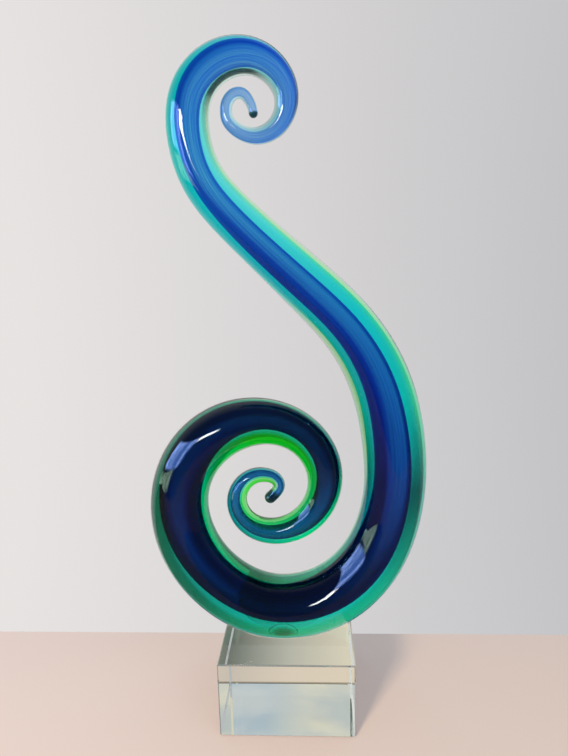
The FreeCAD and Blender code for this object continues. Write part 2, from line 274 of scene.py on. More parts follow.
# %% Layer shares
HAIR = 0.02 * MM
LAYER_SHARES = {
    "lime": (
        [0.63, 0.63, 0.64, 0.64, 0.65, 0.65, 0.65, 0.65, 0.65, 0.65, 0.65, 0.65, 0.65, 0.65, 0.66, 0.66],
        [0.64, 0.64, 0.65, 0.65, 0.65, 0.65, 0.65, 0.65, 0.65, 0.65, 0.65, 0.65, 0.65, 0.65, 0.66, 0.66],
    ),
    "teal": (
        [0.24, 0.34, 0.48, 0.43, 0.61, 0.60, 0.59, 0.61, 0.59, 0.54, 0.56, 0.63, 0.63, 0.63, 0.64, 0.64],
        [0.60, 0.61, 0.62, 0.63, 0.63, 0.62, 0.61, 0.61, 0.59, 0.59, 0.57, 0.57, 0.57, 0.45, 0.50, 0.55],
    ),
    "cobalt": (
        [0.10, 0.22, 0.33, 0.23, 0.43, 0.47, 0.45, 0.55, 0.46, 0.39, 0.39, 0.44, 0.36, 0.54, 0.61, 0.60],
        [0.50, 0.42, 0.50, 0.60, 0.53, 0.38, 0.33, 0.36, 0.35, 0.33, 0.28, 0.26, 0.33, 0.38, 0.31, 0.40],
    ),
    "heart": (
        [0.02, 0.13, 0.20, 0.10, 0.10, 0.15, 0.12, 0.15, 0.18, 0.12, 0.13, 0.15, 0.20, 0.40, 0.50, 0.45],
        [0.45, 0.38, 0.33, 0.25, 0.25, 0.20, 0.18, 0.20, 0.25, 0.26, 0.22, 0.21, 0.26, 0.32, 0.25, 0.35],
    ),
}

# %% Make the layers
bores = {"lime": "teal", "teal": "cobalt", "cobalt": "heart", "heart": None}
layers = {}
for layer, bore in bores.items():
    shells = [(skin_grid(*layer_rows(*LAYER_SHARES[layer], inset=HAIR)), False)]
    if bore:
        shells.append((skin_grid(*layer_rows(*LAYER_SHARES[bore])), True))
    layers[layer] = make_mesh(layer + "_glass", shells)
    print(layer, "cm3:", round(signed_volume(layers[layer]) * 1e6, 1))

# %% [markdown]
# ## The clear casing and its ground seat
# The casing's own skin is one closed form, because the layers inside are fused to it and have no air
# between. Its belly is ground flat on a wheel so that it can be glued, so the mesh is cut by a plane, and
# the cut's edge is kept sharp while the rest shades smooth.

# %% Grinding helper
CONTACT_SLOT = 1


def grind_flat(piece, height):
    """Cuts away what lies below a level and closes the cut with one flat face. Returns its outline."""
    bm = bmesh.new()
    bm.from_mesh(piece.data)
    everything = bm.verts[:] + bm.edges[:] + bm.faces[:]
    cut = bmesh.ops.bisect_plane(bm, geom=everything, plane_co=(0, 0, height), plane_no=(0, 0, 1),
                                 clear_inner=True)
    rim = [item for item in cut["geom_cut"] if isinstance(item, bmesh.types.BMEdge)]
    flat = bmesh.ops.edgeloop_fill(bm, edges=rim, mat_nr=CONTACT_SLOT)["faces"]
    for face in flat:
        face.smooth = False
        face.normal_update()
        if face.normal.z > 0:
            face.normal_flip()
    for edge in rim:
        edge.smooth = False
    outline = np.array([vert.co[:] for vert in flat[0].verts])
    bm.to_mesh(piece.data)
    bm.free()
    return outline


# %% [markdown]
# A gather of hot glass traps a few tiny bubbles of air. They lie in the clear casing, and each is a small
# closed skin that faces inwards, because it bounds the glass from within. A row below holds the share of
# the rod's length, the places across and backward as shares of its radius, and the radius in mm.

# %% Bubbles
BUBBLES = [
    (0.075, -0.55, -0.60, 0.30), (0.125, 0.30, -0.77, 0.24), (0.205, -0.10, -0.80, 0.40),
    (0.262, 0.62, -0.50, 0.28), (0.330, 0.75, -0.35, 0.34), (0.398, -0.70, -0.42, 0.44),
    (0.415, 0.15, -0.80, 0.26), (0.452, 0.45, -0.70, 0.32), (0.520, -0.20, -0.79, 0.22),
    (0.600, 0.66, -0.48, 0.30), (0.690, -0.35, -0.74, 0.24), (0.800, 0.20, -0.78, 0.26),
]
BUBBLE_RINGS, BUBBLE_AROUND = 7, 14


def bubble_grid(share, across, backward, radius):
    """Rings round the rod's direction: radius x cos along it, radius x sin across it."""
    at = int(np.searchsorted(axis_share, share))
    centre = axis_points[at] + axis_radius[at] * (across * RIGHTWARD[at] + backward * BACK)
    tilt = np.linspace(math.pi, 0, BUBBLE_RINGS + 2)[1:-1]
    turn = np.linspace(0, 2 * math.pi, BUBBLE_AROUND, endpoint=False)
    circle = RIGHTWARD[at] * np.sin(turn)[:, None] + BACK * np.cos(turn)[:, None]
    rings = centre + tangents[at] * (radius * np.cos(tilt))[:, None]
    grid = rings[:, None] + circle * (radius * np.sin(tilt))[:, None, None]
    poles = np.array([centre - tangents[at] * radius, centre + tangents[at] * radius])
    return grid, poles, np.full(len(tilt), share)


bubbles = [(bubble_grid(share, across, backward, radius * MM), True)
           for share, across, backward, radius in BUBBLES]
print("bubbles:", len(bubbles))

# %% Make the casing
casing = make_mesh("casing", [(skin_grid(axis_points, axis_radius), False)] + bubbles)
seat_outline = grind_flat(casing, SEAT_HEIGHT)
print("casing cm3:", round(signed_volume(casing) * 1e6, 1))
print("seat in mm:", np.round(np.ptp(seat_outline, axis=0) / MM, 1), "points:", len(seat_outline))

# %% [markdown]
# ## The block
# The block is cast optical glass, sawn and polished, with a small bevel ground on each edge so that it
# doesn't chip. A bevel is less polished than a face, so it gets a rougher finish of its own, and most
# bevels also get a grey tint, a painted shade for the dark lines that the edges show. Where the rod is
# glued there is no air under it, and light passes straight through. So the top face is cut along the
# seat's outline, and that patch gets a finish that doesn't bend light.

# %% Make the block
BEVEL = 0.7 * MM
EDGE_SLOT = 2
SQUARE_ON = 0.9


def gets_painted_edge_shade(normal):
    """Bevels face along no axis and get the painted shade; the two that lie along the sides of the top
    stay clear.
    """
    bevel = max(abs(part) for part in normal) < SQUARE_ON
    side_of_top = normal.z > 1 - SQUARE_ON and abs(normal.y) < 1 - SQUARE_ON
    return bevel and not side_of_top


def make_block():
    """A box with every edge bevelled, whose top face is parted along the seat's outline."""
    bm = bmesh.new()
    bmesh.ops.create_cube(bm, size=1.0)
    size = BLOCK_HIGH - BLOCK_LOW
    middle = (BLOCK_HIGH + BLOCK_LOW) / 2
    for vert in bm.verts:
        vert.co = middle + size * np.array(vert.co)
    bmesh.ops.bevel(bm, geom=bm.edges[:], offset=BEVEL, segments=1, affect="EDGES")
    top = max(bm.faces, key=lambda face: face.normal.z * face.calc_area())
    border = list(top.edges)
    bmesh.ops.delete(bm, geom=[top], context="FACES_ONLY")
    ring = [bm.verts.new((x, y, BLOCK_HIGH[2])) for x, y, _ in seat_outline]
    loop = [bm.edges.new((a, b)) for a, b in zip(ring, ring[1:] + ring[:1])]
    bmesh.ops.triangle_fill(bm, edges=border + loop, use_beauty=True, normal=(0, 0, 1))
    for face in bm.faces:
        if gets_painted_edge_shade(face.normal):
            face.material_index = EDGE_SLOT
    patch = bm.faces.new(ring)
    patch.material_index = CONTACT_SLOT
    bmesh.ops.recalc_face_normals(bm, faces=bm.faces[:])
    mesh = bpy.data.meshes.new("block")
    bm.to_mesh(mesh)
    bm.free()
    return add_piece("block", mesh)


block = make_block()
print("block cm3:", round(signed_volume(block) * 1e6, 1))

# %% [markdown]
# The film of adhesive lies between the seat and the block. It is drawn a hair thinner and smaller than
# the gap it fills, so that none of its faces lies in the same place as a neighbour's.

# %% Make the film
FILM_SHRINK = 0.998


def make_film():
    """A flat prism with the seat's outline."""
    centre = seat_outline.mean(axis=0)
    outline = centre + (seat_outline - centre) * FILM_SHRINK
    low, high = outline.copy(), outline.copy()
    low[:, 2], high[:, 2] = BLOCK_HIGH[2] + HAIR, SEAT_HEIGHT - HAIR
    count = len(outline)
    ring = list(range(count))
    walls = [(k, (k + 1) % count, count + (k + 1) % count, count + k) for k in ring]
    mesh = bpy.data.meshes.new("film")
    mesh.from_pydata(np.vstack([low, high]).tolist(), [], [ring, [count + k for k in ring]] + walls)
    bm = bmesh.new()
    bm.from_mesh(mesh)
    bmesh.ops.recalc_face_normals(bm, faces=bm.faces[:])
    bm.to_mesh(mesh)
    bm.free()
    return add_piece("film", mesh)


film = make_film()
print("film mm3:", round(signed_volume(film) * 1e9, 1))

# %% [markdown]
# ## Glass finishes
# Clear glass is a Principled surface with full transmission and a refractive index of 1.5. The inner
# layers touch the casing with no air between, so light passes into them without bending: their index is
# 1, and what shows is their colour. That colour comes from Volume Absorption, which deepens with the
# thickness of glass that light crosses, just as in the real rod.
#
# A few short helpers keep the node work readable. Each makes one node, feeds it and returns its output.

# %% Make and feed nodes
def new_node(tree, kind, **settings):
    """A node with its settings, such as its operation."""
    node = tree.nodes.new(kind)
    for name, value in settings.items():
        setattr(node, name, value)
    return node


def feed(tree, socket, value):
    """Gives a socket another node's output, a plain colour or a plain number."""
    if isinstance(value, bpy.types.NodeSocket):
        tree.links.new(value, socket)
    elif socket.type == "RGBA":
        socket.default_value = (*value, 1)
    else:
        socket.default_value = value


def feed_all(tree, node, **values):
    """Feeds a node's sockets by their names, with _ for a space."""
    for name, value in values.items():
        feed(tree, node.inputs[name.replace("_", " ")], value)


def fact(tree, name):
    """One of the mesh's own facts, such as along_rod, at the point that is drawn."""
    return new_node(tree, "ShaderNodeAttribute", attribute_name=name).outputs["Fac"]


# %% Numbers from nodes
def maths(tree, operation, *values):
    """A number made from one or two others."""
    node = new_node(tree, "ShaderNodeMath", operation=operation)
    for socket, value in zip(node.inputs, values):
        feed(tree, socket, value)
    return node.outputs[0]


def vector_maths(tree, operation, vector, other=(0.0, 0.0, 0.0)):
    """A vector, or a number where the operation gives one, made from two vectors."""
    node = new_node(tree, "ShaderNodeVectorMath", operation=operation)
    feed(tree, node.inputs[0], vector)
    feed(tree, node.inputs[1], other)
    return node.outputs["Value" if operation in ("DOT_PRODUCT", "LENGTH") else "Vector"]


def noise(tree, vector, scale, detail):
    """Soft noise round 0.5."""
    node = new_node(tree, "ShaderNodeTexNoise")
    feed_all(tree, node, Vector=vector, Scale=scale, Detail=detail)
    return node.outputs["Fac"]


def fade(tree, value, low, high, curve="LINEAR"):
    """0 where a value is low and 1 where it is high."""
    node = new_node(tree, "ShaderNodeMapRange", interpolation_type=curve)
    feed_all(tree, node, Value=value, From_Min=low, From_Max=high)
    return node.outputs["Result"]


# %% Colours and shaders from nodes
def mix_colours(tree, factor, first, second, blend="MIX"):
    """The first colour where the factor is 0 and the second where it is 1."""
    node = new_node(tree, "ShaderNodeMix", data_type="RGBA", blend_type=blend)
    feed_all(tree, node, Factor=factor, A=first, B=second)
    return node.outputs["Result"]


def mix_shaders(tree, factor, first, second):
    """The first shader where the factor is 0 and the second where it is 1."""
    node = new_node(tree, "ShaderNodeMixShader")
    for socket, value in zip(node.inputs, (factor, first, second)):
        feed(tree, socket, value)
    return node.outputs[0]


def plain_shader(tree, kind, colour):
    """A shader that has little more than a colour."""
    node = new_node(tree, kind)
    feed(tree, node.inputs["Color"], colour)
    return node.outputs[0]


def colour_ramp(tree, place, stops):
    """A colour that changes with a place from 0 to 1, from stops of (place, colour)."""
    node = new_node(tree, "ShaderNodeValToRGB")
    elements = node.color_ramp.elements
    while len(elements) < len(stops):
        elements.new(0.5)
    for element, (position, colour) in zip(elements, stops):
        element.position = position
        element.color = (*colour, 1)
    feed(tree, node.inputs["Fac"], place)
    return node.outputs["Color"]


# %% [markdown]
# Two effects are shared, so each is a node group. One gives polished glass the faint smears and dust that
# hands leave. The other draws the fine streaks that run along hand-gathered glass.

# %% Group helper
def new_group(name, inputs, output):
    """A node group with numbers as inputs and one number as output. Returns it with its two ends."""
    group = bpy.data.node_groups.new(name, "ShaderNodeTree")
    for label, value in inputs.items():
        socket = group.interface.new_socket(label, in_out="INPUT", socket_type="NodeSocketFloat")
        socket.default_value = value
    group.interface.new_socket(output, in_out="OUTPUT", socket_type="NodeSocketFloat")
    return group, new_node(group, "NodeGroupInput").outputs, new_node(group, "NodeGroupOutput").inputs


# %% Smears and dust
SMEAR_SPAN, SMEAR_DETAIL = (0.5, 0.75), 4.0


def handling_group():
    """A roughness that goes from Clean to Smeared in soft spots."""
    group, given, result = new_group(
        "handling_marks", {"Clean": 0.0, "Smeared": 0.03, "Scale": 60.0}, "Roughness")
    place = new_node(group, "ShaderNodeTexCoord").outputs["Object"]
    spots = noise(group, place, given["Scale"], SMEAR_DETAIL)
    band = new_node(group, "ShaderNodeMapRange")
    feed_all(group, band, Value=spots, From_Min=SMEAR_SPAN[0], From_Max=SMEAR_SPAN[1],
             To_Min=given["Clean"], To_Max=given["Smeared"])
    feed(group, result["Roughness"], band.outputs["Result"])
    return group


handling_marks = handling_group()
print("node group:", handling_marks.name)

# %% Streaks in the glass
STREAK_SPAN, STREAK_DETAIL = (0.44, 0.60), 3.0


def striae_group():
    """A mask from 0 to Depth, from a noise that is drawn out along the rod."""
    group, given, result = new_group(
        "glass_striae", {"Fineness": 9.0, "Length": 3.0, "Depth": 0.25}, "Mask")
    place = new_node(group, "ShaderNodeCombineXYZ")
    feed(group, place.inputs["X"], maths(group, "MULTIPLY", fact(group, "across_rod"), given["Fineness"]))
    feed(group, place.inputs["Y"], maths(group, "MULTIPLY", fact(group, "along_rod"), given["Length"]))
    band = new_node(group, "ShaderNodeMapRange")
    feed_all(group, band, Value=noise(group, place.outputs[0], 1.0, STREAK_DETAIL),
             From_Min=STREAK_SPAN[0], From_Max=STREAK_SPAN[1], To_Max=given["Depth"])
    feed(group, result["Mask"], band.outputs["Result"])
    return group


glass_striae = striae_group()
print("node group:", glass_striae.name)

# %% [markdown]
# Absorption is given per millimetre for red, green and blue, as a glassmaker's data sheet would. The node
# wants a colour and a density instead, so the strongest of the three becomes the density.

# %% Kinds of glass
CLEAR_INDEX, MATCHED_INDEX = 1.5, 1.0


def new_glass(name, index, absorption=None):
    """A material of glass with a refractive index. Returns it with its surface."""
    material = bpy.data.materials.new(name)
    material.use_nodes = True
    tree = material.node_tree
    surface = tree.nodes["Principled BSDF"]
    surface.inputs["IOR"].default_value = index
    surface.inputs["Transmission Weight"].default_value = 1.0
    if absorption:
        volume = new_node(tree, "ShaderNodeVolumeAbsorption")
        strongest = max(absorption)
        volume.inputs["Color"].default_value = (*[1 - value / strongest for value in absorption], 1)
        volume.inputs["Density"].default_value = strongest / MM
        feed(tree, tree.nodes["Material Output"].inputs["Volume"], volume.outputs[0])
    return material, surface


def clear_glass(name, tint, smeared, absorption=None):
    """Clear glass with a faint tint and smears that blur its reflections a little."""
    material, surface = new_glass(name, CLEAR_INDEX, absorption)
    surface.inputs["Base Color"].default_value = (*tint, 1)
    marks = new_node(material.node_tree, "ShaderNodeGroup", node_tree=handling_marks)
    marks.inputs["Smeared"].default_value = smeared
    feed(material.node_tree, surface.inputs["Roughness"], marks.outputs["Roughness"])
    return material


# %% The clear pieces
CASING_TINT, CASING_SMEARS, CASING_ABSORPTION = (0.985, 1.0, 0.995), 0.012, (0.0012, 0.0004, 0.0006)
BLOCK_TINT, BLOCK_SMEARS, BLOCK_ABSORPTION = (0.99, 1.0, 0.995), 0.01, (0.0008, 0.0004, 0.0006)
# Most bevels get a grey tint: painted shade for the dark lines along the block's edges, on top of their
# real rougher finish.
EDGE_PAINTED_SHADE, EDGE_SMEARS = (0.30, 0.30, 0.26), 0.4
casing_glass = clear_glass("casing_glass", CASING_TINT, CASING_SMEARS, CASING_ABSORPTION)
block_glass = clear_glass("block_glass", BLOCK_TINT, BLOCK_SMEARS, BLOCK_ABSORPTION)
shaded_edge_glass = clear_glass("shaded_edge_glass", EDGE_PAINTED_SHADE, EDGE_SMEARS)

# %% [markdown]
# The glued contact bends no light. Its tint is painted shade, darkest inside and clearing towards the
# seat's rim, so it is a fade of the distance from the seat's middle, measured in shares of the seat's
# half size.

# %% The glued contact
# The dark green middle is painted shade; the rim is nearly clear.
CONTACT_PAINTED_SHADE, CONTACT_RIM = (0.45, 0.66, 0.55), (0.97, 1.0, 0.98)
CONTACT_FADE = (0.8, 1.0)
ABOVE_ZERO = 1e-9


def contact_glass():
    """The finish of the seat, of the patch under it and of the film between them."""
    material, surface = new_glass("glued_contact", MATCHED_INDEX)
    surface.inputs["Roughness"].default_value = 0.0
    tree = material.node_tree
    shares = new_node(tree, "ShaderNodeMapping", vector_type="TEXTURE")
    feed_all(tree, shares, Vector=new_node(tree, "ShaderNodeTexCoord").outputs["Object"],
             Location=seat_outline.mean(axis=0).tolist(),
             Scale=(np.ptp(seat_outline, axis=0) / 2 + ABOVE_ZERO).tolist())
    flat = vector_maths(tree, "MULTIPLY", shares.outputs[0], (1.0, 1.0, 0.0))
    rim = fade(tree, vector_maths(tree, "LENGTH", flat), *CONTACT_FADE, "SMOOTHSTEP")
    feed(tree, surface.inputs["Base Color"], mix_colours(tree, rim, CONTACT_PAINTED_SHADE, CONTACT_RIM))
    return material


contact = contact_glass()

# %% [markdown]
# ## The colours of the layers
# Each layer absorbs light in its depth. On top of that its outer skin has tints, mostly because a gather
# is never the same all along; a few stops are painted reflections and painted shade, marked where they
# stand.
# Stops of (share of the rod's length, colour) give one ramp for the skin's middle and one for each band
# at its sides. A band's two numbers say how far across it starts and where it is full, from -1 at the
# left rim to 1 at the right one.

# %% Bands and tints
LEFT, LEFT_RIM, RIGHT, RIGHT_RIM = (-0.35, -0.65), (-0.88, -0.97), (0.35, 0.65), (0.88, 0.97)
CORE_EDGE = (0.65, 0.95)
WHITE = (1.0, 1.0, 1.0)
CORE_TINTS = [
    (0.00, (0.08, 0.30, 0.62)), (0.06, (0.06, 0.30, 0.45)), (0.11, (0.02, 0.28, 0.38)),
    (0.16, (0.01, 0.05, 0.10)), (0.22, (0.10, 0.20, 0.16)), (0.28, (0.22, 0.31, 0.19)),
    # Near 0.42 the core is darker, partly as painted shade where the block's shadow lies behind it.
    (0.35, (0.14, 0.28, 0.31)), (0.42, (0.12, 0.12, 0.20)), (0.48, (0.19, 0.23, 0.19)),
    (0.55, (0.45, 0.46, 0.60)), (0.61, (0.72, 0.86, 0.92)), (0.66, (0.85, 1.00, 1.00)),
    (0.71, (1.00, 1.00, 1.00)), (0.78, (1.00, 1.00, 1.00)), (0.82, (0.50, 0.75, 1.00)),
    (0.88, (0.30, 0.62, 1.00)), (0.92, (0.36, 0.56, 0.96)), (0.97, (0.60, 0.80, 1.00)),
    (1.00, (0.70, 0.85, 1.00)),
]
BANDS = {
    "lime": [
        (*LEFT, [
            (0.00, (0.15, 0.80, 0.10)), (0.05, (0.06, 0.95, 0.07)), (0.11, (0.02, 0.75, 0.05)),
            (0.16, (0.00, 0.85, 0.03)), (0.22, (0.00, 0.63, 0.00)), (0.28, (0.00, 0.60, 0.30)),
            (0.36, (0.00, 0.62, 0.36)), (0.50, (0.10, 0.50, 0.60)), (0.60, (0.75, 0.90, 0.80)),
            (0.66, (0.90, 1.00, 0.90)), (0.72, (0.10, 1.00, 0.95)), (0.84, (0.10, 1.00, 0.85)),
            (0.90, (0.80, 0.90, 1.00)), (1.00, (0.90, 0.97, 1.00)),
        ]),
        (*LEFT_RIM, [
            (0.00, (0.15, 0.80, 0.10)), (0.16, (0.00, 0.85, 0.10)), (0.24, (0.00, 0.80, 0.10)),
            (0.36, (0.00, 0.90, 0.15)), (0.45, (0.00, 0.70, 0.30)), (0.53, (0.00, 0.35, 0.55)),
            (0.57, (1.00, 1.00, 0.50)), (0.67, (1.00, 1.00, 0.55)), (0.70, (0.05, 1.00, 1.00)),
            (0.84, (0.00, 1.00, 0.90)), (0.88, (0.60, 0.80, 1.00)), (0.905, (0.70, 0.85, 1.00)),
            (0.915, (0.10, 0.15, 0.25)), (0.93, (0.70, 0.85, 1.00)), (1.00, (0.80, 0.90, 1.00)),
        ]),
        (*RIGHT, [
            (0.00, (0.15, 0.35, 0.50)), (0.06, (0.10, 0.60, 0.62)), (0.11, (0.10, 0.95, 0.45)),
            (0.16, (0.02, 0.12, 0.18)), (0.22, (0.60, 0.85, 0.70)), (0.28, (0.10, 0.60, 0.45)),
            (0.35, (0.15, 0.75, 0.65)), (0.42, (0.03, 0.75, 0.68)), (0.48, (0.05, 1.00, 0.95)),
            (0.54, (0.08, 0.70, 0.75)), (0.60, (0.30, 0.90, 0.90)), (0.66, (0.60, 1.00, 1.00)),
            (0.71, (1.00, 1.00, 1.00)), (0.84, (0.95, 1.00, 1.00)), (0.92, (0.85, 0.95, 1.00)),
            (1.00, (0.80, 0.90, 1.00)),
        ]),
        (*RIGHT_RIM, [
            (0.00, (0.15, 0.35, 0.50)), (0.06, (0.10, 0.60, 0.62)), (0.11, (0.10, 0.95, 0.35)),
            (0.16, (0.02, 0.15, 0.20)), (0.22, (0.45, 0.95, 0.60)), (0.28, (0.10, 0.95, 0.85)),
            (0.35, (0.08, 0.65, 0.55)), (0.42, (0.02, 0.55, 0.48)), (0.48, (0.05, 0.80, 0.75)),
            (0.54, (0.05, 0.50, 0.52)), (0.59, (0.30, 1.00, 0.55)), (0.65, (0.80, 1.00, 0.50)),
            # From 0.82 to 0.90 this rim holds a near-black strip inside the upper scroll: a painted
            # reflection of a dark room.
            (0.78, (1.00, 1.00, 0.60)), (0.82, (0.45, 0.55, 0.42)), (0.84, (0.006, 0.011, 0.010)),
            (0.885, (0.006, 0.010, 0.010)), (0.90, (0.60, 0.75, 0.75)), (0.92, (0.80, 1.00, 1.00)),
            (1.00, (0.80, 0.90, 1.00)),
        ]),
    ],
    "teal": [
        (*LEFT, [
            (0.00, (0.35, 0.85, 0.80)), (0.05, (0.10, 0.80, 0.65)), (0.11, (0.05, 0.80, 0.65)),
            (0.16, (0.02, 0.75, 0.60)), (0.20, (0.02, 0.65, 0.55)), (0.30, (0.02, 0.50, 0.40)),
            (0.45, (0.01, 0.35, 0.40)), (0.55, (0.02, 0.40, 0.40)), (0.60, (0.05, 0.75, 0.80)),
            (0.66, (0.05, 0.75, 0.85)), (0.71, (0.02, 0.75, 0.85)), (0.80, (0.02, 0.95, 0.95)),
            (0.87, (0.40, 0.80, 1.00)), (1.00, (0.80, 0.95, 1.00)),
        ]),
        (*RIGHT, [
            (0.00, (0.20, 0.50, 0.55)), (0.06, (0.10, 0.75, 0.78)), (0.11, (0.05, 0.95, 0.85)),
            (0.20, (0.05, 0.50, 0.45)), (0.30, (0.01, 0.40, 0.24)), (0.36, (0.01, 0.42, 0.26)),
            (0.42, (0.01, 1.00, 0.55)), (0.48, (0.00, 0.62, 0.42)), (0.54, (0.00, 0.18, 0.16)),
            (0.60, (0.02, 0.80, 0.66)), (0.66, (0.04, 0.85, 0.90)), (0.72, (0.40, 1.00, 1.00)),
            (0.80, (0.90, 1.00, 1.00)), (0.86, (0.80, 0.90, 1.00)), (1.00, (0.90, 0.95, 1.00)),
        ]),
    ],
    "cobalt": [
        (*LEFT, [
            (0.00, (0.08, 0.30, 0.62)), (0.06, (0.04, 0.22, 0.35)), (0.11, (0.05, 0.35, 0.35)),
            (0.16, (0.02, 0.08, 0.12)), (0.22, (0.10, 0.12, 0.12)), (0.28, (0.15, 0.12, 0.15)),
            (0.35, (0.12, 0.16, 0.24)), (0.42, (0.12, 0.12, 0.18)), (0.48, (0.10, 0.08, 0.15)),
            (0.55, (0.32, 0.20, 0.36)), (0.61, (0.36, 0.26, 0.60)), (0.66, (0.36, 0.30, 0.66)),
            (0.71, (0.25, 0.30, 0.65)), (0.77, (0.50, 0.55, 0.90)), (0.82, (0.20, 0.45, 0.95)),
            (0.88, (0.20, 0.50, 1.00)), (0.92, (0.32, 0.55, 0.96)), (0.97, (0.60, 0.80, 1.00)),
            (1.00, (0.70, 0.85, 1.00)),
        ]),
        (*CORE_EDGE, [
            (0.00, (0.04, 0.22, 0.50)), (0.06, (0.03, 0.18, 0.30)), (0.11, (0.03, 0.25, 0.30)),
            (0.16, (0.01, 0.03, 0.06)), (0.29, (0.16, 0.20, 0.12)), (0.36, (0.06, 0.08, 0.10)),
            (0.45, (0.08, 0.08, 0.15)), (0.55, (0.15, 0.15, 0.40)), (0.66, (0.20, 0.35, 0.80)),
            (0.75, (0.35, 0.50, 0.90)), (0.85, (0.45, 0.55, 0.90)), (0.92, (0.90, 0.95, 1.00)),
            (1.00, (0.70, 0.85, 1.00)),
        ]),
    ],
}
LAYER_ABSORPTION = {
    "lime": (0.050, 0.003, 0.030),
    "teal": (0.16, 0.010, 0.003),
    "cobalt": (0.38, 0.24, 0.06),
    "heart": (0.06, 0.01, 0.003),
}

# %% [markdown]
# In the photograph the ends of both tips are nearly black and a dark strip runs inside the upper scroll,
# both reflections of a dark room. The lime skin has them as tints, as painted reflections. Streaks are
# drawn in the cobalt, where they show best. The heart has no tint of its own, so its colour stays plain
# white and absorption alone gives its pale aqua.

# %% Make the finishes of the layers
STREAK_TINT, STREAK_DEPTH = (0.25, 0.45, 1.0), 0.8
# The tips' near-black ends are a painted reflection of a dark room.
PAINTED_END_REFLECTION = (0.03, 0.10, 0.08)
PAINTED_END_SPANS = [(0.007, 0.003), (0.9985, 0.9998)]


def fused_glass(name, absorption, middle, bands, streaked, painted_dark_ends):
    """Glass fused to its neighbour. It bends no light, and only its outer skin is tinted."""
    material, surface = new_glass(name, MATCHED_INDEX, absorption)
    surface.inputs["Roughness"].default_value = 0.0
    tree = material.node_tree
    tint = colour_ramp(tree, fact(tree, "along_rod"), middle) if middle else WHITE
    for low, high, stops in bands:
        band = fade(tree, fact(tree, "across_rod"), low, high, "SMOOTHSTEP")
        tint = mix_colours(tree, band, tint, colour_ramp(tree, fact(tree, "along_rod"), stops))
    if streaked:
        striae = new_node(tree, "ShaderNodeGroup", node_tree=glass_striae)
        striae.inputs["Depth"].default_value = STREAK_DEPTH
        tint = mix_colours(tree, striae.outputs["Mask"], tint, STREAK_TINT, "MULTIPLY")
    # Painted reflection: the ends of the tips fade to near black.
    if painted_dark_ends:
        for low, high in PAINTED_END_SPANS:
            end = fade(tree, fact(tree, "along_rod"), low, high, "SMOOTHSTEP")
            tint = mix_colours(tree, end, tint, PAINTED_END_REFLECTION)
    if tint is not WHITE:
        tint = mix_colours(tree, fact(tree, "outer_skin"), WHITE, tint)
    feed(tree, surface.inputs["Base Color"], tint)
    return material


for layer, piece in layers.items():
    core = layer == "cobalt"
    piece.data.materials.append(fused_glass(
        layer + "_finish", LAYER_ABSORPTION[layer], CORE_TINTS if core else None, BANDS.get(layer, []),
        streaked=core, painted_dark_ends=layer == "lime"))
finishes_of = [(casing, [casing_glass, contact]), (block, [block_glass, contact, shaded_edge_glass]),
               (film, [contact])]
for piece, finishes in finishes_of:
    for finish in finishes:
        piece.data.materials.append(finish)
    print(piece.name, [finish.name for finish in finishes])

# %% [markdown]
# ## Join the pieces to the frame
# Nothing on the ornament moves, so every piece rides the frame's one body. Each stands for one of the
# imported solids and takes its place.

# %% Join the pieces to the frame
STANDS_FOR = [(casing, "clear_casing", "casing_glass"), (block, "glass_block", "block_glass"),
              (film, "adhesive_film", "clear_adhesive")]
STANDS_FOR += [(layers[layer], "heart" if layer == "heart" else layer + "_layer", layer + "_glass")
               for layer in layers]
for piece, node, slot in STANDS_FOR:
    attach(piece, "root")
    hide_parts(node)
print("pieces:", len(STANDS_FOR))

# %% [markdown]
# ## Table
# The table is a plain pale plane that ends just behind the ornament. Clear glass is drawn almost wholly
# by what lies around it, so the table has three looks, each with painted light and shade. Seen directly
# it is matt and darker towards the right, with a painted glow of its own colour mixed in so that the
# glass's shadow stays light. Rays bent by the block see it as a painted glow in the colours that the
# block gathers, and mirrored rays see it in a darker painted shade.

# %% Table
TABLE_BACK, TABLE_FRONT, TABLE_SIDE = 61.0 * MM, -0.42, 1.6
TABLE_THICKNESS, AIR_GAP = 0.02, 0.1 * MM
TABLE_FADE_REACH = 0.3
# The table darkens towards the right: painted shade where the light falls off.
TABLE_FALLOFF_SHADE_STOPS = [(0.0, (0.75, 0.60, 0.57)), (1.0, (0.70, 0.54, 0.48))]
# What bent rays see under and behind the block is painted light and shade, drawn as a glow.
UNDER_BLOCK_PAINTED_LIGHT = [(0.0, (0.14, 0.16, 0.13)), (0.5, (0.52, 0.50, 0.42)), (1.0, (0.78, 0.70, 0.54))]
BEHIND_BLOCK_PAINTED_LIGHT = [(0.0, (0.64, 0.54, 0.46)), (0.5, (0.78, 0.64, 0.51)), (1.0, (0.80, 0.66, 0.52))]
# Mirrored rays see the table in a darker painted shade.
MIRRORED_TABLE_SHADE = (0.16, 0.15, 0.16)
SHADOW_LIFT = 0.28


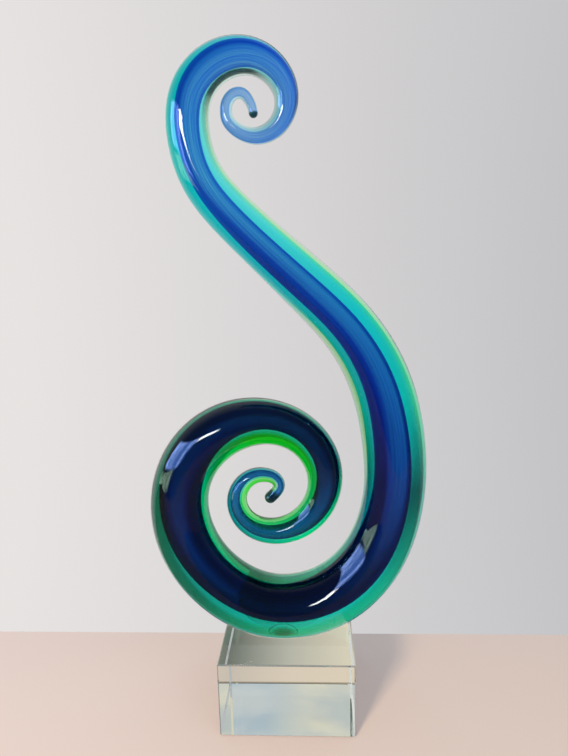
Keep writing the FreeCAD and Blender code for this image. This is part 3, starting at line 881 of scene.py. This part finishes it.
def table_finish():
    """A matt table with a painted glow, and painted light and shade of its own for bent and for mirrored
    rays.
    """
    material = bpy.data.materials.new("table_top")
    material.use_nodes = True
    tree = material.node_tree
    tree.nodes.remove(tree.nodes["Principled BSDF"])
    parts = new_node(tree, "ShaderNodeSeparateXYZ")
    feed(tree, parts.inputs[0], new_node(tree, "ShaderNodeTexCoord").outputs["Object"])
    path = new_node(tree, "ShaderNodeLightPath")
    across = fade(tree, parts.outputs["X"], -TABLE_FADE_REACH, TABLE_FADE_REACH)
    across_block = fade(tree, parts.outputs["X"], BLOCK_LOW[0], BLOCK_HIGH[0])
    past_block = maths(tree, "GREATER_THAN", parts.outputs["Y"], BLOCK_HIGH[1])
    colour = colour_ramp(tree, across, TABLE_FALLOFF_SHADE_STOPS)
    matt = plain_shader(tree, "ShaderNodeBsdfDiffuse", colour)
    # A painted glow of the table's own colour, mixed in so that shadows stay light.
    painted_glow = plain_shader(tree, "ShaderNodeEmission", colour)
    under = plain_shader(tree, "ShaderNodeEmission", colour_ramp(tree, across_block, UNDER_BLOCK_PAINTED_LIGHT))
    behind = plain_shader(tree, "ShaderNodeEmission", colour_ramp(tree, across_block, BEHIND_BLOCK_PAINTED_LIGHT))
    mirrored = plain_shader(tree, "ShaderNodeBsdfDiffuse", MIRRORED_TABLE_SHADE)
    direct = mix_shaders(tree, SHADOW_LIFT, matt, painted_glow)
    bent = mix_shaders(tree, past_block, under, behind)
    surface = mix_shaders(tree, path.outputs["Is Glossy Ray"], direct, mirrored)
    surface = mix_shaders(tree, path.outputs["Is Transmission Ray"], surface, bent)
    feed(tree, tree.nodes["Material Output"].inputs["Surface"], surface)
    return material


def make_table():
    """A thin slab whose top is the level that the ornament stands on."""
    bm = bmesh.new()
    bmesh.ops.create_cube(bm, size=1.0)
    low = np.array([-TABLE_SIDE, TABLE_FRONT, -TABLE_THICKNESS])
    high = np.array([TABLE_SIDE, TABLE_BACK, -AIR_GAP])
    for vert in bm.verts:
        vert.co = (low + high) / 2 + (high - low) * np.array(vert.co)
    mesh = bpy.data.meshes.new("table")
    bm.to_mesh(mesh)
    bm.free()
    return add_piece("table", mesh)


table = make_table()
table.data.materials.append(table_finish())
print("table in m:", np.round(table.dimensions, 3))

# %% [markdown]
# ## Backdrop and room
# Past the table the world is the backdrop. The world shows three things. The camera and rays through the
# glass see a plain wall that darkens to the right, with soft clouds high up behind, where only the
# block's lower face looks. Mirrored rays see a dim room with a window, a garden below it and a lamp, and
# draw the highlights. All other rays get plain bluish light.

# %% The world and its directions
world = bpy.data.worlds.new("studio")
bpy.context.scene.world = world
world.use_nodes = True
studio = world.node_tree
direction = new_node(studio, "ShaderNodeTexCoord").outputs["Generated"]
parts = new_node(studio, "ShaderNodeSeparateXYZ")
feed(studio, parts.inputs[0], direction)
path = new_node(studio, "ShaderNodeLightPath")

# %% Blends and streaks
WAVE_SPAN, WAVE_DETAIL = (0.4, 0.6), 3.0


def world_blend(axis, span, first, second):
    """A colour that goes from first to second as the direction's part along an axis spans two values."""
    return mix_colours(studio, fade(studio, parts.outputs[axis], *span), first, second)


def world_streaks(scale, colours):
    """Two colours in soft streaks, like folds of a curtain, leaves or clouds."""
    waves = noise(studio, vector_maths(studio, "MULTIPLY", direction, scale), 1.0, WAVE_DETAIL)
    return mix_colours(studio, fade(studio, waves, *WAVE_SPAN), *colours)


# %% [markdown]
# A window could be a bright panel in the room, but then it would light the table too. So it is a patch of
# the world: a direction lies in the patch when its parts along the patch's own two axes are small, and
# when it points to the patch's half of the room.

# %% Patches
PATCH_SOFTNESS = 0.15
IN_FRONT = 0.5


def world_patch(azimuth, elevation, wide, high, tilt=0.0):
    """The mask of a soft-edged rectangle. Angles are in degrees, azimuth from -Y to +X."""
    az, el, turn = (math.radians(angle) for angle in (azimuth, elevation, tilt))
    centre = np.array([math.sin(az) * math.cos(el), -math.cos(az) * math.cos(el), math.sin(el)])
    level = np.array([math.cos(az), math.sin(az), 0.0])
    rise = np.cross(centre, level)
    across = math.cos(turn) * level + math.sin(turn) * rise
    upward = -math.sin(turn) * level + math.cos(turn) * rise
    ahead = vector_maths(studio, "DOT_PRODUCT", direction, centre.tolist())
    mask = maths(studio, "GREATER_THAN", ahead, IN_FRONT)
    for vector, reach in ((across, math.radians(wide) / 2), (upward, math.radians(high) / 2)):
        off = maths(studio, "ABSOLUTE", vector_maths(studio, "DOT_PRODUCT", direction, vector.tolist()))
        inside = fade(studio, off, reach * (1 + PATCH_SOFTNESS), reach * (1 - PATCH_SOFTNESS),
                      "SMOOTHSTEP")
        mask = maths(studio, "MULTIPLY", mask, inside)
    return mask


# %% [markdown]
# A patch is given by its azimuth, elevation, width, height and tilt in degrees. Its streaks have a scale
# along each axis and two colours. Colours above 1 are brighter than the wall, as a window is.

# %% The room that mirrored rays see
WALL_SPAN, LEFT_COLOUR, RIGHT_COLOUR = (-0.45, 0.45), (0.80, 0.77, 0.76), (0.53, 0.53, 0.55)
ROOM_SPAN, ROOM_COLOUR = (-0.3, 0.5), (0.06, 0.11, 0.19)
WINDOW, GARDEN = (-60.0, 12.0, 48.0, 20.0, -8.0), (-70.0, -5.0, 44.0, 12.0)
WINDOW_SCALE, WINDOW_COLOURS = (9.0, 9.0, 2.0), [(1.0, 2.4, 7.5), (4.5, 7.0, 15.0)]
GARDEN_SCALE, GARDEN_COLOURS = (16.0, 16.0, 6.0), [(0.4, 1.0, 0.3), (3.0, 4.5, 3.5)]
LAMP, LAMP_COLOUR = (-24.0, 14.0, 17.0, 5.0, -8.0), (26.0, 26.0, 25.0)

wall = world_blend("X", WALL_SPAN, LEFT_COLOUR, RIGHT_COLOUR)
room = world_blend("Y", ROOM_SPAN, ROOM_COLOUR, wall)
room = mix_colours(studio, world_patch(*GARDEN), room, world_streaks(GARDEN_SCALE, GARDEN_COLOURS))
room = mix_colours(studio, world_patch(*WINDOW), room, world_streaks(WINDOW_SCALE, WINDOW_COLOURS))
room = mix_colours(studio, world_patch(*LAMP), room, LAMP_COLOUR)

# %% The backdrop and its clouds
CLOUDS, CLOUD_SCALE, CLOUD_SPAN = (180.0, 38.5, 24.0, 8.0), (8.0, 1.0, 30.0), (-0.08, -0.01)
COOL_CLOUDS = [(0.47, 0.55, 0.61), (0.60, 0.63, 0.64)]
WARM_CLOUDS = [(0.74, 0.70, 0.58), (0.54, 0.57, 0.56)]

cool, warm = (world_streaks(CLOUD_SCALE, colours) for colours in (COOL_CLOUDS, WARM_CLOUDS))
clouds = world_blend("X", CLOUD_SPAN, cool, warm)
backdrop = mix_colours(studio, world_patch(*CLOUDS), wall, clouds)

# %% Choose by the kind of ray
LIGHT_COLOUR, LIGHT_LEVEL = (0.64, 0.86, 1.0), 0.72

light = studio.nodes["Background"]
feed_all(studio, light, Color=LIGHT_COLOUR, Strength=LIGHT_LEVEL)
seen = maths(studio, "MAXIMUM", path.outputs["Is Camera Ray"], path.outputs["Is Transmission Ray"])
shown = mix_shaders(studio, path.outputs["Is Glossy Ray"], light.outputs[0],
                    plain_shader(studio, "ShaderNodeBackground", room))
shown = mix_shaders(studio, seen, shown, plain_shader(studio, "ShaderNodeBackground", backdrop))
feed(studio, studio.nodes["World Output"].inputs["Surface"], shown)
print("world nodes:", len(studio.nodes))

# %% [markdown]
# ## Lamps
# Two panels light the table: a warm key lamp up to the left, which draws the block's shadow, and a weak
# fill on the right. Rays that are mirrored or bent by the glass don't see them, because the room above
# already holds the highlights.

# %% Lamps
KEY_PLACE, KEY_TARGET = (-0.49, -1.05, 0.62), (0.0, 0.0, 0.02)
FILL_PLACE, FILL_TARGET = (0.80, -0.90, 1.20), (0.0, 0.0, 0.2)
KEY_SIZE, KEY_POWER, KEY_COLOUR = 0.22, 19.0, (1.0, 0.83, 0.58)
FILL_SIZE, FILL_POWER, FILL_COLOUR = 0.8, 2.0, (1.0, 1.0, 1.0)


def pointing(side, up, forward, place):
    """The matrix of something at a place that looks along forward, as lamps and cameras do."""
    rows = [(side[k], up[k], -forward[k], place[k]) for k in range(3)]
    return Matrix(rows + [(0, 0, 0, 1)])


def add_panel(name, place, target, size, power, colour):
    """A square lamp at a place, facing a target."""
    lamp = bpy.data.lights.new(name, "AREA")
    lamp.size = size
    lamp.energy = power
    lamp.color = colour
    panel = bpy.data.objects.new(name, lamp)
    offset = np.array(target) - np.array(place)
    forward = offset / np.linalg.norm(offset)
    side = np.cross(forward, (0, 0, 1))
    side /= np.linalg.norm(side)
    up = np.cross(side, forward)
    panel.matrix_world = pointing(side, up, forward, place)
    panel.visible_glossy = False
    panel.visible_transmission = False
    bpy.context.scene.collection.objects.link(panel)


add_panel("key", KEY_PLACE, KEY_TARGET, KEY_SIZE, KEY_POWER, KEY_COLOUR)
add_panel("fill", FILL_PLACE, FILL_TARGET, FILL_SIZE, FILL_POWER, FILL_COLOUR)
print("lamp powers in W:", KEY_POWER, FILL_POWER)

# %% [markdown]
# ## The camera
# The photograph was taken from a little above, close by, with the camera turned and rolled slightly. Its
# place was worked out from the block's corners, so the camera is set the same way here.

# %% Camera
CAMERA_PLACE = np.array([19.32, -344.42, 270.19]) * MM
YAW, PITCH, ROLL = (math.radians(angle) for angle in (-3.0203, 10.3368, -1.4735))
FOCAL_PIXELS, FRAME_WIDTH_PIXELS, SENSOR_WIDTH = 592.33, 568, 36.0
NEAREST_SEEN = 0.01

forward = np.array([math.sin(YAW) * math.cos(PITCH), math.cos(YAW) * math.cos(PITCH), -math.sin(PITCH)])
level = np.array([math.cos(YAW), -math.sin(YAW), 0.0])
rise = np.cross(level, forward)
side = math.cos(ROLL) * level + math.sin(ROLL) * rise
up = -math.sin(ROLL) * level + math.cos(ROLL) * rise
view = bpy.data.cameras.new("camera")
view.sensor_fit = "HORIZONTAL"
view.sensor_width = SENSOR_WIDTH
view.lens = SENSOR_WIDTH * FOCAL_PIXELS / FRAME_WIDTH_PIXELS
view.clip_start = NEAREST_SEEN
camera = bpy.data.objects.new("camera", view)
camera.matrix_world = pointing(side, up, forward, CAMERA_PLACE)
bpy.context.scene.collection.objects.link(camera)
bpy.context.scene.camera = camera
print("lens in mm:", round(view.lens, 1))

# %% [markdown]
# ## Light paths
# A ray that crosses the rod meets up to sixteen skins, and more where it meets the rod twice. Too few
# bounces would leave black spots, so the limits are raised.

# %% Render paths
BOUNCES, GLOSSY_BOUNCES = 32, 8
cycles = bpy.context.scene.cycles
cycles.max_bounces = BOUNCES
cycles.transmission_bounces = BOUNCES
cycles.transparent_max_bounces = BOUNCES
cycles.glossy_bounces = GLOSSY_BOUNCES
bpy.context.scene.view_settings.view_transform = "Standard"
